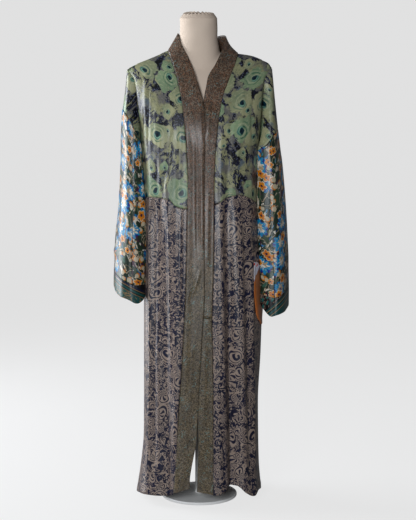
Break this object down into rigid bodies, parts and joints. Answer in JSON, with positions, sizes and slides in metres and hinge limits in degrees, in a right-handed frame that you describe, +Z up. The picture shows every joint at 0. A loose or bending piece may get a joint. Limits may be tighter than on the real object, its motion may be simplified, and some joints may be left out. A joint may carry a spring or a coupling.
{
  "type": "kimono on dress form",
  "caption": "Long open-front kimono robe in pieced printed silk with a neck band, dropped sleeves and cuffs, on a limbless dress form with a round stand.",
  "frame": {"origin": "centre of the underside of the stand's base, on the floor", "axes": "+Z up the pole to the neck, -Y to the front of the kimono, +X to the wearer's left"},
  "size_m": [0.5151, 0.2909, 1.413],
  "materials": {
    "bodice": "printed silk, sage and navy roses",
    "skirt": "printed silk, navy scrolls on taupe",
    "sleeve": "printed silk, daisies on dark green",
    "cuff": "printed silk, dark border",
    "band": "printed silk, fine taupe mosaic",
    "pocket": "printed silk, mottled orange",
    "form": "cream jersey cover",
    "stand": "pale satin paint"
  },
  "bodies": {
    "root": {"bodice_front_right": "bodice", "bodice_front_left": "bodice", "bodice_back": "bodice", "skirt_front_right": "skirt", "skirt_front_left": "skirt", "skirt_back_right": "skirt", "skirt_back_left": "skirt", "sleeve_right": "sleeve", "sleeve_left": "sleeve", "cuff_right": "cuff", "cuff_left": "cuff", "band_right": "band", "band_left": "band", "band_left_lower": "band", "pocket_facing": "pocket", "form_torso": "form", "form_neck": "form", "stand_pole": "stand", "stand_base": "stand"}
  },
  "joints": []
}
